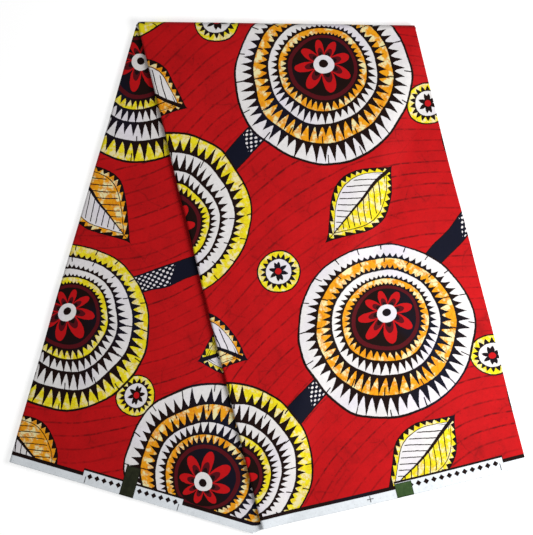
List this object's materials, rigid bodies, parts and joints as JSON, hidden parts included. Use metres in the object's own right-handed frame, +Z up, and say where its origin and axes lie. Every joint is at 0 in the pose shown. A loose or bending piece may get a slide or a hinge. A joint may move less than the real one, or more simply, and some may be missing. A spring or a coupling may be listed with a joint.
{
  "type": "folded wax-print cotton fabric",
  "caption": "Length of printed cotton folded to a flat layered bundle, bent over a slanting fold at the top so that its two legs fan out and lie on each other.",
  "frame": {"origin": "middle of the bundle's outline on the surface that it lies on", "axes": "+X to the right and +Y from the open ends to the top fold, as seen from above; +Z up, through the layers"},
  "size_m": [0.6306, 0.6232, 0.0143],
  "materials": {
    "printed_cotton": "waxed plain-weave cotton print, soft sheen",
    "inner_cotton": "waxed plain-weave cotton print, soft sheen",
    "dark_green_paper": "smooth",
    "green_paper": "smooth"
  },
  "bodies": {
    "root": {"outer_layer": "printed_cotton", "hidden_layers": "inner_cotton", "label_left": "dark_green_paper", "label_right": "green_paper"}
  },
  "joints": []
}
